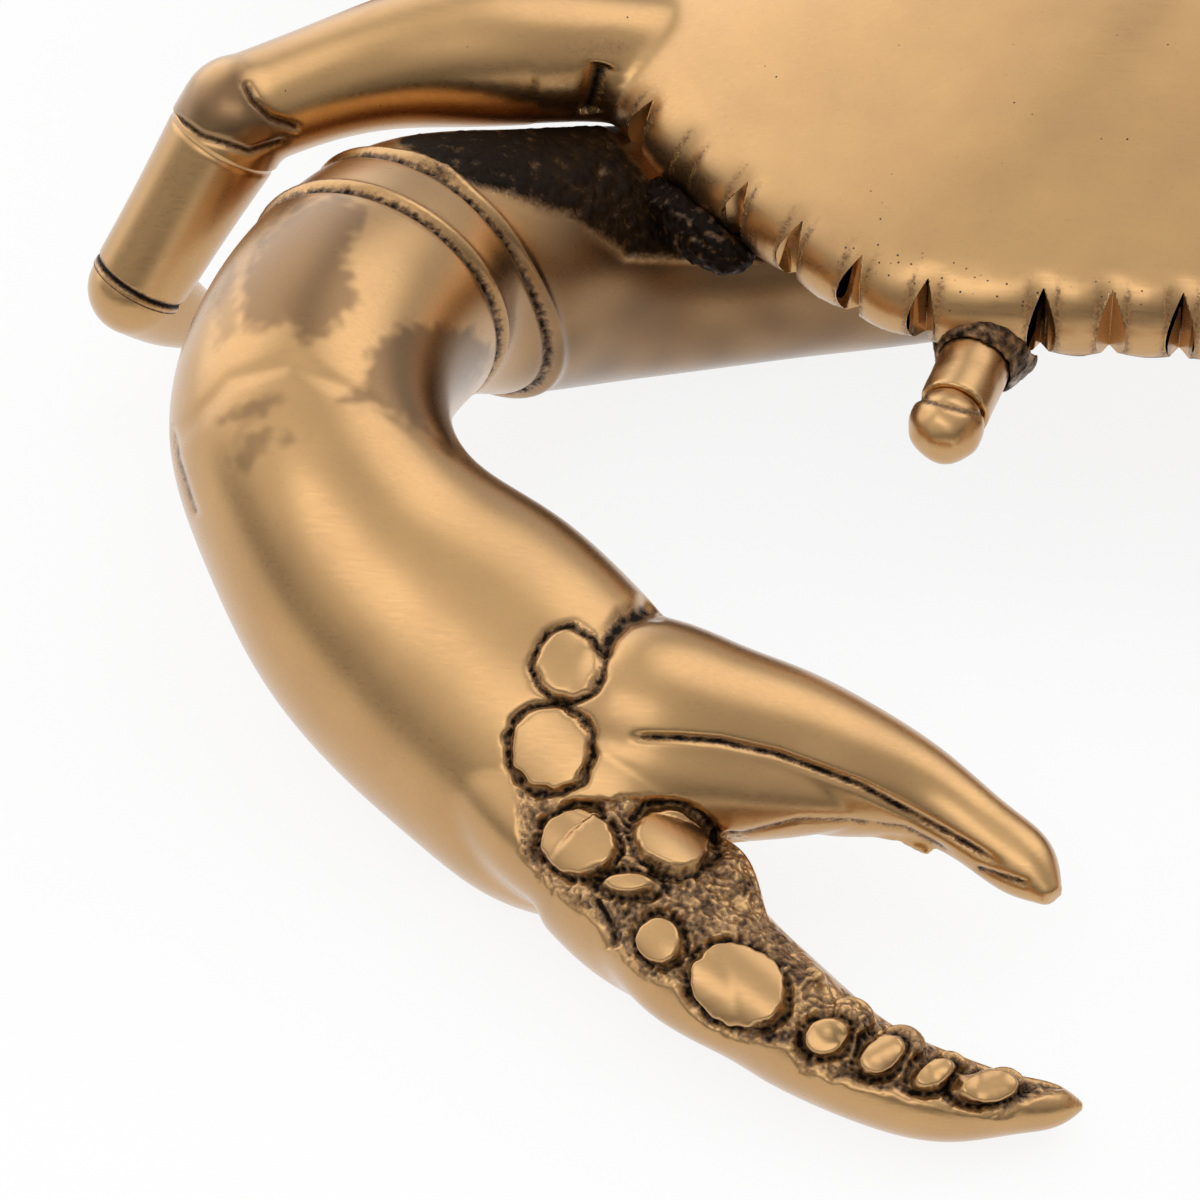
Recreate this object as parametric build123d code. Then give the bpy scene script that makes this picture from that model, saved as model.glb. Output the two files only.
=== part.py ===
from build123d import *
from math import cos, pi, radians, sin
import os

# A cast brass crab. Millimetres, +Z up, the crab faces -Y and rests on the table at Z = 0.
# The crab's right side (at -X) is modelled, and the left side is its mirror image.

# ---- carapace ----
shell_half_width = 119.0
shell_front_reach = 78.0
shell_back_reach = 83.0
shell_centre_y = 5.0
rim_height = 45.0             # underside of the rim above the table
dome_rise = 39.0              # crown of the shell above the underside of the rim
shell_wall = 9.0              # across the rim
shell_skin = 4.0              # top skin and floor of the casting
notch_width = 4.6
notch_depth = 2.6
front_notch_pitch = 12.3
front_notches = 6             # between the eyes
side_notch_pitch = 14.6
side_notches = 7              # from the eye to the front leg
side_notch_start = 52.5       # along the rim from the front midline
notch_lean = 6.0              # degrees that the notches lean in over the rounded rim
notch_mid_height = 5.5        # middle of a notch above the underside of the rim
notch_length = 26.0

# Rim outline of one half, front midline to back midline: shares of the half width and the reach.
front_rim = [(0.0, 0.98), (0.25, 1.0), (0.45, 0.985), (0.70, 0.745), (0.88, 0.47), (0.99, 0.20)]
back_rim = [(1.0, 0.06), (0.91, 0.42), (0.70, 0.73), (0.40, 0.94), (0.0, 1.0)]
# Dome sections: share of the rim outline and share of the dome's rise.
dome_sections = [(0.985, 0.0), (1.0, 0.10), (0.985, 0.24), (0.95, 0.345), (0.87, 0.45),
                 (0.74, 0.58), (0.56, 0.75), (0.36, 0.89), (0.18, 0.97), (0.05, 1.0)]

# ---- plastron ----
belly_half_width = 82.0
belly_half_length = 60.0
belly_centre_y = 8.0
belly_height = 19.0           # underside of the belly above the table
# Belly sections from the shell down: share of its width and length, share of its depth.
belly_sections = [(1.0, 0.0), (0.95, 0.30), (0.80, 0.72), (0.62, 1.0)]
hollow_half_width = 38.0
hollow_half_length = 38.0
belly_skin = 5.0
abdomen_half_width = 20.0
abdomen_length = 50.0
abdomen_relief = 1.6
abdomen_grooves = 4
abdomen_groove_width = 1.4
abdomen_first_groove = 0.7    # of the groove spacing, from the wide end of the flap

# ---- claw: stations are x, y, z, half width, half depth ----
claw_tilt = 42.0              # the broad face of the claw looks forward and up by this angle
arm_stations = [
    (-48.6, -16.2, 22.0, 18.6, 18.0),
    (-63.4, -18.5, 22.0, 20.1, 19.0),
    (-79.8, -22.1, 22.5, 21.2, 20.0),
    (-96.2, -25.7, 23.0, 22.6, 20.5),
    (-110.6, -31.0, 25.0, 23.5, 21.5),
    (-121.0, -37.0, 28.0, 24.0, 22.5),
    (-131.1, -45.0, 33.0, 24.2, 23.2),
]
collar_station = (-143.4, -55.7, 40.0, 23.9, 24.0)
wrist_stations = [
    (-149.5, -68.7, 44.5, 24.5, 25.0),
    (-156.2, -91.0, 47.5, 24.5, 25.5),
]
heel_station = (-156.3, -108.9, 45.0, 24.9, 24.6)
palm_stations = [
    (-150.7, -120.4, 40.0, 24.8, 24.2),
    (-142.9, -129.3, 34.0, 26.7, 23.8),
    (-129.0, -139.1, 28.0, 29.4, 23.3),
    (-112.2, -152.2, 23.5, 29.2, 21.6),
    (-99.0, -163.7, 19.5, 26.4, 19.6),
    (-90.0, -173.2, 17.0, 18.8, 16.0),
    (-84.0, -180.4, 15.5, 9.0, 9.0),
]
fixed_finger_stations = [
    (-98.1, -178.0, 17.5, 14.5, 15.0),
    (-87.9, -186.0, 15.5, 15.0, 15.6),
    (-77.0, -195.5, 14.0, 12.5, 14.0),
    (-62.8, -206.3, 12.0, 10.8, 12.0),
    (-47.3, -215.0, 10.0, 8.7, 10.0),
    (-32.8, -218.1, 8.5, 7.2, 8.0),
    (-21.9, -216.6, 7.0, 4.8, 5.5),
    (-12.6, -214.9, 6.0, 1.5, 1.6),
]
finger_stations = [
    (-94.4, -155.7, 31.0, 17.0, 17.0),
    (-79.4, -157.3, 28.0, 16.6, 15.0),
    (-67.4, -156.6, 26.0, 14.0, 13.0),
    (-54.7, -158.4, 23.5, 11.6, 10.5),
    (-42.6, -160.4, 21.0, 8.1, 7.6),
    (-31.3, -166.7, 18.5, 6.4, 5.9),
    (-23.7, -172.5, 17.0, 5.3, 4.8),
    (-19.9, -177.0, 16.0, 1.9, 1.9),
]
collar_width = 3.4
collar_proud = 1.3
wrist_collar_gap = 6.8        # from the collar joint to the wrist's own collar
# Pebbles of the palm and teeth of the fixed finger: x, y, z of the middle and radius.
pebbles = [
    (-105.0, -159.2, 45.1, 5.8),
    (-105.4, -172.2, 37.6, 8.2),
    (-99.7, -187.6, 31.7, 6.9),
    (-84.5, -183.7, 30.7, 6.6),
    (-85.4, -201.8, 24.3, 4.4),
    (-70.3, -209.5, 22.9, 8.5),
    (-54.6, -215.7, 20.5, 5.3),
    (-45.2, -217.7, 18.9, 4.5),
    (-36.6, -219.5, 17.0, 4.0),
    (-27.4, -219.5, 14.5, 4.4),
]
pebble_proud = 1.0
pebble_round = 0.8
pebble_height = 6.0           # from the pebble's middle down into the casting

# ---- eyes ----
eye_spacing = 78.0            # between the two stalks where they start under the rim
eye_tuck = 11.0               # start of a stalk behind the front of the rim
eye_drop = 0.5                # stalk's axis below the underside of the rim
eye_reach = 30.8              # start of a stalk to the middle of its ball
eye_splay = 13.0              # degrees outward
stalk_diameter = 13.0
eyeball_diameter = 13.4
eye_spigot_diameter = 6.0
eye_spigot_length = 6.0
eye_seat_share = 0.3          # of the ball's diameter, from its middle to the flat on the stalk

# ---- brazed fillets ----
arm_braze_along = 106.0       # along the rim from the front midline
arm_braze_drop = 2.0          # below the underside of the rim
arm_braze_half_sizes = (15.0, 6.6, 5.8)
eye_braze_radius = 10.0
eye_braze_lip = 0.6           # thickness where the fillet runs out on the stalk
eye_braze_length = 7.0

# ---- legs ----
# Thigh: reach out from the hip, sideways bend, height above the underside of the rim, radius.
thigh_stations = [
    (-14.0, 0.0, 5.5, 12.6),
    (0.0, 0.0, 7.0, 12.2),
    (14.0, 0.7, 8.2, 11.5),
    (27.0, 1.4, 9.6, 10.6),
    (40.5, 4.0, 11.2, 9.4),
    (54.0, 8.6, 12.7, 9.1),
    (67.0, 14.0, 14.0, 10.2),
]
knee_radius = 10.9
knee_cap_depth = 5.0          # knee centre to the knee joint
ankle_spot = (88.3, 23.0, 28.0)   # reach, bend, height above the table
shin_top_radius = 10.7
shin_middle_radius = 9.6
ankle_radius = 8.8
# Toe: reach, bend, height above the table, radius; the last one ends below the table.
toe_stations = [
    (81.6, 19.3, 18.5, 7.2),
    (75.0, 15.5, 9.5, 4.6),
    (69.5, 12.0, -2.0, 1.8),
]
# For each leg: its name, hip place along the rim from the front midline, heading in degrees, bend, reach.
legs = [
    ("front", 147.2, 195.7, 1.0, 1.0),
    ("second", 176.7, 143.0, -0.5, 1.04),
    ("third", 205.0, 127.0, -0.6, 1.0),
    ("rear", 233.3, 111.0, -0.8, 0.88),
]
hip_stub = 4.0                # stub left on the carapace outside the rim

# ---- fits ----
dowel_diameter = 5.0
toe_dowel_diameter = 4.0
dowel_reach = 8.0             # into each of the two castings
toe_dowel_reach = 5.0
dowel_clearance = 0.1
dowel_end_gap = 0.3
seat_gap = 0.25               # between curved faces that the braze fills

claw_face = Vector(0, -cos(radians(claw_tilt)), sin(radians(claw_tilt)))
half_space = 500.0            # larger than the whole crab, for cutting away one side of a plane
oval_points = 12


# ---- general shapes ----
def oval(centre, forward, wide, half_width, half_depth):
    """Closed elliptical outline square to `forward`, its width along `wide`."""
    plane = Plane(origin=centre, x_dir=wide, z_dir=forward)
    turns = [2 * pi * k / oval_points for k in range(oval_points)]
    ring = [plane.from_local_coords((half_width * cos(a), half_depth * sin(a), 0)) for a in turns]
    return Wire(Spline(*ring, periodic=True))


def path_directions(points):
    """Unit direction of travel at each point of a path."""
    last = len(points) - 1
    return [(points[min(i + 1, last)] - points[max(i - 1, 0)]).normalized() for i in range(last + 1)]


def limb(stations, face, grow=0.0):
    """Smooth solid through ovals along the stations; `face` is the way its broad side looks."""
    centres = [Vector(*station[:3]) for station in stations]
    rings = []
    for station, centre, forward in zip(stations, centres, path_directions(centres)):
        wide = forward.cross(face).normalized()
        rings.append(oval(centre, forward, wide, station[3] + grow, station[-1] + grow))
    return Solid.make_loft(rings)


def beyond(plane):
    """Everything on the far side of a plane."""
    return plane * Pos(0, 0, half_space / 2) * Box(half_space, half_space, half_space)


def dowel(plane, diameter, reach):
    """Round bar standing on a joint plane, the same length each side."""
    return plane * Cylinder(diameter / 2, 2 * reach)


def dowel_hole(plane, diameter, reach):
    return dowel(plane, diameter + 2 * dowel_clearance, reach + dowel_end_gap)


def largest(shape):
    """The biggest of the solids that a cut left."""
    return max(shape.solids(), key=lambda solid: solid.volume)


def joint_plane(stations, index):
    """Plane square to the path at one of its stations."""
    centres = [Vector(*station[:3]) for station in stations]
    return Plane(origin=centres[index], z_dir=path_directions(centres)[index])


# ---- carapace ----
def rim_outline():
    """Rim outline at full size, from the front midline round the right side and back."""
    right = [(-x * shell_half_width, -y * shell_front_reach) for x, y in front_rim]
    right += [(-x * shell_half_width, y * shell_back_reach) for x, y in back_rim]
    left = [(-x, y) for x, y in right[-2:0:-1]]
    return Spline(*right, *left, periodic=True)


def shell_section(share, height):
    return Wire(Pos(0, shell_centre_y, height) * scale(rim_outline(), by=(share, share, 1)))


def dome(inset=0.0, lift=0.0):
    """The shell's outer form, or with an inset and a drop the form of its hollow."""
    shrink = inset / shell_half_width
    return Solid.make_loft([
        shell_section(share - shrink, rim_height + lift + rise * dome_rise)
        for share, rise in dome_sections
    ])


def rim_place(along):
    """Plane on the rim outline, `along` mm from the front midline: X along the rim, Y outward."""
    rim = rim_outline().edge()
    share = along / rim.length
    origin = rim @ share + Vector(0, shell_centre_y, rim_height)
    return Plane(origin=origin, x_dir=rim % share, z_dir=(0, 0, 1))


def notch(along):
    """Wedge that files one notch across the rounded rim."""
    clear = 2 * notch_depth
    half_mouth = notch_width / 2 * (clear + notch_depth) / notch_depth
    wedge = Polygon((0, -notch_depth), (half_mouth, clear), (-half_mouth, clear), align=None)
    bar = Rot(notch_lean, 0, 0) * extrude(wedge, notch_length / 2, both=True)
    return rim_place(along) * Pos(0, 0, notch_mid_height) * bar


def notch_places():
    front = [front_notch_pitch * (k + 0.5) for k in range(front_notches // 2)]
    side = [side_notch_start + side_notch_pitch * k for k in range(side_notches)]
    return front + side


def belly_oval(share, height, half_width, half_length):
    centre = Vector(0, belly_centre_y, height)
    return oval(centre, Vector(0, 0, 1), Vector(1, 0, 0), share * half_width, share * half_length)


def belly_hollow(bottom, top):
    """Straight well that opens the belly to the inside of the shell."""
    well = Face(belly_oval(1.0, bottom, hollow_half_width, hollow_half_length))
    return extrude(well, top - bottom)


# ---- legs ----
class Leg:
    """Frame and joints of one leg on the crab's right side."""

    def __init__(self, hip_along, heading, bend, reach):
        self.hip = rim_place(hip_along).origin - Vector(0, 0, rim_height)
        self.out = Vector(cos(radians(heading)), sin(radians(heading)), 0)
        self.side = Vector(-self.out.Y, self.out.X, 0) * bend
        self.reach = reach
        self.knee = self.thigh_spot(thigh_stations[-1])
        self.ankle = self.spot(ankle_spot)
        self.shin_way = (self.ankle - self.knee).normalized()
        toe_way = (self.spot(toe_stations[0]) - self.ankle).normalized()
        self.miter = (self.shin_way + toe_way).normalized()
        self.hinge = self.shin_way.cross(toe_way).normalized()
        self.ankle_stretch = 1 / self.shin_way.dot(self.miter)
        hip_centre = self.thigh_spot((hip_stub / reach, *thigh_stations[1][1:]))
        self.hip_joint = Plane(origin=hip_centre, z_dir=self.out)
        self.knee_joint = Plane(origin=self.knee + self.shin_way * knee_cap_depth, z_dir=self.shin_way)
        self.ankle_joint = Plane(origin=self.ankle, z_dir=self.miter)

    def spot(self, station):
        level = self.hip + self.out * station[0] * self.reach + self.side * station[1]
        return level + Vector(0, 0, station[2])

    def thigh_spot(self, station):
        return self.spot(station) + Vector(0, 0, rim_height)


def thigh_form(leg):
    stations = [(*leg.thigh_spot(station), station[3], station[3]) for station in thigh_stations]
    knee = Pos(*leg.knee) * Sphere(knee_radius)
    cap = leg.knee_joint * Pos(0, 0, -knee_cap_depth / 2) * Cylinder(knee_radius, knee_cap_depth)
    return limb(stations, Vector(0, 0, 1)) + knee + cap


def shin(leg):
    start = leg.knee_joint.origin
    middle = (start + leg.ankle) * 0.5
    rings = [
        oval(start, leg.shin_way, leg.hinge, shin_top_radius, shin_top_radius),
        oval(middle, leg.shin_way, leg.hinge, shin_middle_radius, shin_middle_radius),
        oval(leg.ankle, leg.miter, leg.hinge, ankle_radius, ankle_radius * leg.ankle_stretch),
    ]
    return Solid.make_loft(rings)


def toe(leg):
    centres = [leg.ankle] + [leg.spot(station) for station in toe_stations]
    ways = path_directions(centres)
    rings = [oval(leg.ankle, leg.miter, leg.hinge, ankle_radius, ankle_radius * leg.ankle_stretch)]
    for centre, way, station in zip(centres[1:], ways[1:], toe_stations):
        rings.append(oval(centre, way, leg.hinge, station[3], station[3]))
    return Solid.make_loft(rings) & beyond(Plane.XY)


# ---- pieces ----
def make_carapace(right_legs):
    shell = dome()
    for leg in right_legs:
        stub = thigh_form(leg) - beyond(leg.hip_joint)
        shell = shell + stub + mirror(stub, about=Plane.YZ)
    floor_top = Plane((0, 0, rim_height + shell_skin))
    shell = shell - (dome(shell_wall, -shell_skin) & beyond(floor_top))
    shell = shell - belly_hollow(rim_height - 1, rim_height + shell_skin + 1)
    for along in notch_places():
        cut = notch(along)
        shell = shell - cut - mirror(cut, about=Plane.YZ)
    for leg in right_legs:
        hole = dowel_hole(leg.hip_joint, dowel_diameter, dowel_reach)
        shell = shell - hole - mirror(hole, about=Plane.YZ)
    return largest(shell)


def make_plastron(claw_channel):
    belly_depth = rim_height - belly_height
    belly = Solid.make_loft([
        belly_oval(share, rim_height - drop * belly_depth, belly_half_width, belly_half_length)
        for share, drop in belly_sections
    ])
    belly = belly + abdomen() - belly_hollow(belly_height + belly_skin, rim_height + 1)
    hole = dowel_hole(shoulder_joint, dowel_diameter, dowel_reach)
    for cut in (claw_channel, hole):
        belly = belly - cut - mirror(cut, about=Plane.YZ)
    return belly


def abdomen():
    """Pointed tail flap folded under the belly, with its cross grooves."""
    front = belly_centre_y - abdomen_length / 2
    back = belly_centre_y + abdomen_length / 2
    outline = Polygon((-abdomen_half_width, back), (abdomen_half_width, back), (0, front), align=None)
    flap = Pos(0, 0, belly_height) * extrude(outline, abdomen_relief, both=True)
    pitch = abdomen_length / (abdomen_grooves + 1)
    for k in range(abdomen_grooves):
        groove = Box(2 * abdomen_half_width, abdomen_groove_width, abdomen_relief)
        groove_y = back - (k + abdomen_first_groove) * pitch
        flap = flap - Pos(0, groove_y, belly_height - abdomen_relief / 2) * groove
    return flap


reach_stations = arm_stations + [collar_station] + wrist_stations + [heel_station] + palm_stations
shoulder_joint = joint_plane(reach_stations, 0)
collar_joint = joint_plane(reach_stations, len(arm_stations))
heel_joint = joint_plane(reach_stations, len(arm_stations) + 1 + len(wrist_stations))
finger_joint = joint_plane(finger_stations, 0)


def collar(start):
    """Raised band round the claw's arm, from `start` mm past the collar joint."""
    grown = limb(reach_stations, claw_face, collar_proud)
    return (grown & beyond(collar_joint.offset(start))) - beyond(collar_joint.offset(start + collar_width))


def make_arm(claw_reach):
    arm = claw_reach - beyond(collar_joint)
    arm = arm + collar(-collar_width)
    arm = arm - dome(-seat_gap, -seat_gap)
    arm = arm - dowel_hole(shoulder_joint, dowel_diameter, dowel_reach)
    return largest(arm - dowel_hole(collar_joint, dowel_diameter, dowel_reach))


def make_wrist(claw_reach):
    wrist = (claw_reach & beyond(collar_joint)) - beyond(heel_joint)
    wrist = wrist + collar(wrist_collar_gap)
    for joint in (collar_joint, heel_joint):
        wrist = wrist - dowel_hole(joint, dowel_diameter, dowel_reach)
    return largest(wrist)


def make_palm(claw_reach):
    palm = claw_reach & beyond(heel_joint)
    palm = palm + limb(fixed_finger_stations, claw_face)
    for x, y, z, radius in pebbles:
        face = Plane(origin=(x, y, z), z_dir=claw_face).offset(pebble_proud - pebble_height / 2)
        pebble = Cylinder(radius, pebble_height)
        palm = palm + face * fillet(pebble.edges().group_by(Axis.Z)[-1], pebble_round)
    palm = (palm & beyond(Plane.XY)) - limb(finger_stations, claw_face, seat_gap)
    for joint in (heel_joint, finger_joint):
        palm = palm - dowel_hole(joint, dowel_diameter, dowel_reach)
    return largest(palm)


def make_finger():
    return limb(finger_stations, claw_face) - dowel_hole(finger_joint, dowel_diameter, dowel_reach)


def eye_axis():
    """Plane at the start of the right eye stalk, Z along the stalk."""
    turn = radians(eye_splay)
    root = (-eye_spacing / 2, shell_centre_y - shell_front_reach + eye_tuck, rim_height - eye_drop)
    return Plane(origin=root, x_dir=(0, 0, 1), z_dir=(-sin(turn), -cos(turn), 0))


def make_eye_stalk():
    """Stalk tucked half under the rim, with a socket for the ball in its end."""
    length = eye_reach - eyeball_diameter * eye_seat_share
    stalk = eye_axis() * Pos(0, 0, length / 2) * Cylinder(stalk_diameter / 2, length)
    socket = Cylinder(eye_spigot_diameter / 2 + dowel_clearance, 2 * (eye_spigot_length + dowel_end_gap))
    stalk = stalk - dome(-seat_gap, -seat_gap)
    return largest(stalk - eye_axis() * Pos(0, 0, length) * socket)


def make_eyeball():
    """Ball filed flat where it meets the stalk, with a spigot."""
    flat = eyeball_diameter * eye_seat_share
    ball = Sphere(eyeball_diameter / 2) & beyond(Plane((0, 0, -flat)))
    spigot = Pos(0, 0, -flat - eye_spigot_length / 2) * Cylinder(eye_spigot_diameter / 2, eye_spigot_length)
    return eye_axis() * Pos(0, 0, eye_reach) * (ball + spigot)


def make_arm_braze(claw_channel):
    """Lump of filler between the top of the arm and the underside of the rim."""
    place = rim_place(arm_braze_along) * Pos(0, 0, -arm_braze_drop)
    lump = place * scale(Sphere(1), by=arm_braze_half_sizes)
    return largest(lump - claw_channel - dome(-seat_gap, -seat_gap))


def make_eye_braze():
    """Ring of filler round the root of the eye stalk."""
    start = eye_axis().offset(eye_tuck - eye_braze_length / 2)
    lip = stalk_diameter / 2 + eye_braze_lip
    ring = start * Pos(0, 0, eye_braze_length / 2) * Cone(eye_braze_radius, lip, eye_braze_length)
    ring = ring - start * Cylinder(stalk_diameter / 2 + dowel_clearance, 4 * eye_braze_length)
    return largest(ring - dome(-seat_gap, -seat_gap))


def build_pieces():
    right_legs = {name: Leg(*values) for name, *values in legs}
    claw_reach = limb(reach_stations, claw_face)
    claw_channel = limb(reach_stations, claw_face, seat_gap)
    right = {
        "arm": make_arm(claw_reach),
        "wrist": make_wrist(claw_reach),
        "palm": make_palm(claw_reach),
        "finger": make_finger(),
        "eye_stalk": make_eye_stalk(),
        "eyeball": make_eyeball(),
        "arm_braze": make_arm_braze(claw_channel),
        "eye_braze": make_eye_braze(),
    }
    for name, leg in right_legs.items():
        hip_hole = dowel_hole(leg.hip_joint, dowel_diameter, dowel_reach)
        knee_hole = dowel_hole(leg.knee_joint, dowel_diameter, dowel_reach)
        ankle_hole = dowel_hole(leg.ankle_joint, toe_dowel_diameter, toe_dowel_reach)
        thigh = (thigh_form(leg) & beyond(leg.hip_joint)) - beyond(leg.knee_joint)
        right[name + "_thigh"] = largest(thigh - hip_hole - knee_hole)
        right[name + "_shin"] = largest(shin(leg) - knee_hole - ankle_hole)
        right[name + "_toe"] = largest(toe(leg) - ankle_hole)
    pieces = {"carapace": make_carapace(list(right_legs.values())), "plastron": make_plastron(claw_channel)}
    for name, piece in right.items():
        pieces["right_" + name] = piece
        pieces["left_" + name] = mirror(piece, about=Plane.YZ)
    joints = {
        "hip_dowels": [leg.hip_joint for leg in right_legs.values()],
        "knee_dowels": [leg.knee_joint for leg in right_legs.values()],
        "shoulder_dowels": [shoulder_joint],
        "collar_dowels": [collar_joint],
        "wrist_dowels": [heel_joint],
        "finger_dowels": [finger_joint],
    }
    for name, planes in joints.items():
        bars = [dowel(plane, dowel_diameter, dowel_reach) for plane in planes]
        pieces[name] = pair_group(bars)
    toes = [dowel(leg.ankle_joint, toe_dowel_diameter, toe_dowel_reach) for leg in right_legs.values()]
    pieces["ankle_dowels"] = pair_group(toes)
    return pieces


def pair_group(bars):
    """The given bars and their mirror images as one group of separate solids."""
    solids = [bar.solid() for bar in bars]
    solids += [mirror(bar, about=Plane.YZ).solid() for bar in bars]
    return Compound(solids)


def main():
    pieces = build_pieces()
    whole = Compound([solid for piece in pieces.values() for solid in piece.solids()]).bounding_box()
    to_origin = Pos(-whole.center().X, -whole.center().Y, -whole.min.Z)
    os.makedirs("parts", exist_ok=True)
    for name, piece in pieces.items():
        export_step(to_origin * piece, "parts/" + name + ".step")


main()
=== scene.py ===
import bpy
import bmesh
import math
import numpy as np
from mathutils import Matrix, Vector, noise


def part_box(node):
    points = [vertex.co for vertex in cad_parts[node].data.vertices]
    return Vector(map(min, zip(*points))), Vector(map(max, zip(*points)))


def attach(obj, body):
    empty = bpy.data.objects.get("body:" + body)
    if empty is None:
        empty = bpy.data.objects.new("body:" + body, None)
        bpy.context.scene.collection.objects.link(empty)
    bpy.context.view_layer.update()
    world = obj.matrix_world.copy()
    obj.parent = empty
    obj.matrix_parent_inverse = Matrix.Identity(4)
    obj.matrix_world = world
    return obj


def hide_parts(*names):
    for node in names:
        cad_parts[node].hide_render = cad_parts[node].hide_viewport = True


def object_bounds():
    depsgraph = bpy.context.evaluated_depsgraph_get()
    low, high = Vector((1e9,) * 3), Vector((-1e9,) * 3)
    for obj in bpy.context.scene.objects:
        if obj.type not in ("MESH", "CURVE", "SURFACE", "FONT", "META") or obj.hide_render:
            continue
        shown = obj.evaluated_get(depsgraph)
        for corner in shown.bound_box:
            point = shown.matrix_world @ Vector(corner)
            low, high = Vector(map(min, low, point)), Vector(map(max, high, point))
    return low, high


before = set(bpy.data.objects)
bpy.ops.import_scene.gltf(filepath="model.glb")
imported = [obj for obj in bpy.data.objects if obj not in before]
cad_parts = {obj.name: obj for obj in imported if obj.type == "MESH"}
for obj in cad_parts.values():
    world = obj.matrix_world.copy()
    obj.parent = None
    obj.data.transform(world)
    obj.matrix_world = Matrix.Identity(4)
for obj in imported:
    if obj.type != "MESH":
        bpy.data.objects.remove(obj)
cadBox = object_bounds()
mm = 0.001
scene = bpy.context.scene

# Points below are in the maker's drawing frame, in mm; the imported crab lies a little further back.
dowelLow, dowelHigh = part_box("shoulder_dowels")
drawingShift = (dowelLow.y + dowelHigh.y) / 2 / mm + 16.2


# ---- small tools ----
def hexColour(text):
    parts = [int(text[i:i + 2], 16) / 255 for i in (1, 3, 5)]
    return [c / 12.92 if c <= 0.04045 else ((c + 0.055) / 1.055) ** 2.4 for c in parts] + [1.0]


def inFrame(points):
    return (np.asarray(points, float) + [0, drawingShift, 0]) * mm


def smoothPath(rows, closed=False, samples=400):
    # natural cubic curve through the rows, by distance along the first three columns
    rows = np.asarray(rows, float)
    count = len(rows)
    if closed:
        rows = np.vstack([rows[-4:], rows, rows[:5]])
    stride = np.linalg.norm(np.diff(rows[:, :3], axis=0), axis=1)
    knots = np.concatenate([[0], np.cumsum(stride)])
    n = len(rows)
    system = np.eye(n)
    right = np.zeros_like(rows)
    for i in range(1, n - 1):
        system[i, i - 1:i + 2] = stride[i - 1], 2 * (stride[i - 1] + stride[i]), stride[i]
        right[i] = 6 * ((rows[i + 1] - rows[i]) / stride[i] - (rows[i] - rows[i - 1]) / stride[i - 1])
    bend = np.linalg.solve(system, right)
    start, end = (knots[4], knots[4 + count]) if closed else (0, knots[-1])
    at = np.linspace(start, end, samples)
    k = np.clip(np.searchsorted(knots, at, side="right") - 1, 0, n - 2)
    h = stride[k][:, None]
    a = (knots[k + 1] - at)[:, None] / h
    b = 1 - a
    curve = a * rows[k] + b * rows[k + 1] + ((a ** 3 - a) * bend[k] + (b ** 3 - b) * bend[k + 1]) * h * h / 6
    return curve


def unit(vectors):
    return vectors / np.maximum(np.linalg.norm(vectors, axis=-1, keepdims=True), 1e-9)


def travel(points):
    # the way along a path at each of its points
    ahead = np.vstack([points[1:], points[-1:]])
    behind = np.vstack([points[:1], points[:-1]])
    return unit(ahead - behind)


clawTilt = math.radians(42)
clawFace = np.array([0, -math.cos(clawTilt), math.sin(clawTilt)])


def closed(form):
    bmesh.ops.remove_doubles(form, verts=form.verts, dist=1e-6)
    bmesh.ops.holes_fill(form, edges=[e for e in form.edges if e.is_boundary])
    bmesh.ops.recalc_face_normals(form, faces=form.faces)
    return form


def limbForm(stations, face, around=96, along=120, rings=()):
    # closed tube through ovals: x, y, z, half width, half depth
    # rings are cut in or raised round it: mm from the start (from the end if below zero), depth, half width
    stations = np.asarray(stations, float)
    ways = travel(stations[:, :3])
    wide = unit(np.cross(ways, face))
    deep = np.cross(ways, wide)
    rows = np.hstack([stations[:, :3], stations[:, 3:4], stations[:, -1:], wide, deep])
    curve = smoothPath(rows, samples=along + 1)
    run = np.concatenate([[0], np.cumsum(np.linalg.norm(np.diff(curve[:, :3], axis=0), axis=1))])
    for at, depth, halfWidth in rings:
        swell = depth * np.exp(-((run - at - (run[-1] if at < 0 else 0)) / halfWidth) ** 2)
        curve[:, 3:5] -= swell[:, None]
    form = bmesh.new()
    bmesh.ops.create_grid(form, x_segments=along, y_segments=around, size=1)
    places = np.array([v.co for v in form.verts])
    row = np.rint((places[:, 0] + 1) / 2 * along).astype(int)
    turn = (places[:, 1] + 1) * math.pi
    c = curve[row]
    wideWay, deepWay = unit(c[:, 5:8]), unit(c[:, 8:11])
    wideBy, deepBy = c[:, 3] * np.cos(turn), c[:, 4] * np.sin(turn)
    spots = c[:, :3] + wideWay * wideBy[:, None] + deepWay * deepBy[:, None]
    for v, spot in zip(form.verts, inFrame(spots)):
        v.co = spot
    return closed(form)


def meshOf(name, form):
    mesh = bpy.data.meshes.new(name)
    form.to_mesh(mesh)
    form.free()
    return mesh


def joined(forms):
    whole = bmesh.new()
    for form in forms:
        mesh = meshOf("part", form)
        whole.from_mesh(mesh)
        bpy.data.meshes.remove(mesh)
    return whole


def placed(name, data):
    thing = bpy.data.objects.new(name, data)
    scene.collection.objects.link(thing)
    return thing


def throughModifiers(name, mesh, setUp):
    # the mesh after the modifiers that setUp adds
    holder = placed(name, mesh)
    setUp(holder)
    seen = holder.evaluated_get(bpy.context.evaluated_depsgraph_get())
    done = bpy.data.meshes.new_from_object(seen)
    bpy.data.objects.remove(holder)
    bpy.data.meshes.remove(mesh)
    done.name = name
    return done


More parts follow.
